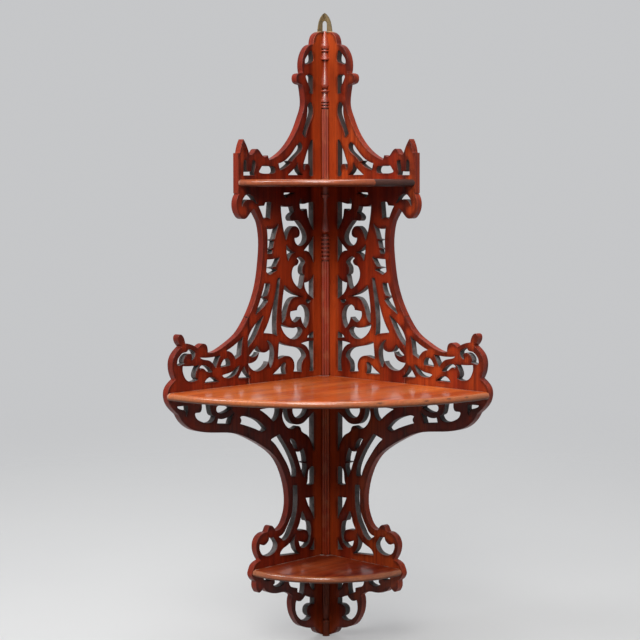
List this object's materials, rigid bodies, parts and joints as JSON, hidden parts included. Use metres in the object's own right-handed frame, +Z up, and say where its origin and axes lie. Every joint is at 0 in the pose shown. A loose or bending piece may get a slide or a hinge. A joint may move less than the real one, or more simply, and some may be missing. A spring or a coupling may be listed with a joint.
{
  "type": "corner wall shelf",
  "caption": "Hanging corner shelf with fret-sawn side boards meeting at a right angle, quarter-round shelves, turned corner spindles and a folded brass hanger.",
  "frame": {"origin": "crown of the hanging slot, on the vertical corner line where the two walls meet", "axes": "+Z up; the right wall is the plane y = 0 and the left wall the plane x = 0; the shelf stands in x > 0, y < 0"},
  "size_m": [0.349, 0.349, 1.0125],
  "materials": {
    "mahogany": "french polished",
    "brass": "aged",
    "steel": "dull"
  },
  "bodies": {
    "root": {"left_main_board": "mahogany", "left_middle_wing": "mahogany", "left_upper_ear": "mahogany", "right_main_board": "mahogany", "right_middle_wing": "mahogany", "right_upper_ear": "mahogany", "top_shelf": "mahogany", "middle_shelf": "mahogany", "lower_shelf": "mahogany", "upper_spindle": "mahogany", "middle_spindle": "mahogany", "lower_spindle": "mahogany", "drop_spindle": "mahogany", "hanger_plate": "brass", "hanger_screws": "brass", "shelf_screws": "steel", "corner_nails": "steel"}
  },
  "joints": []
}
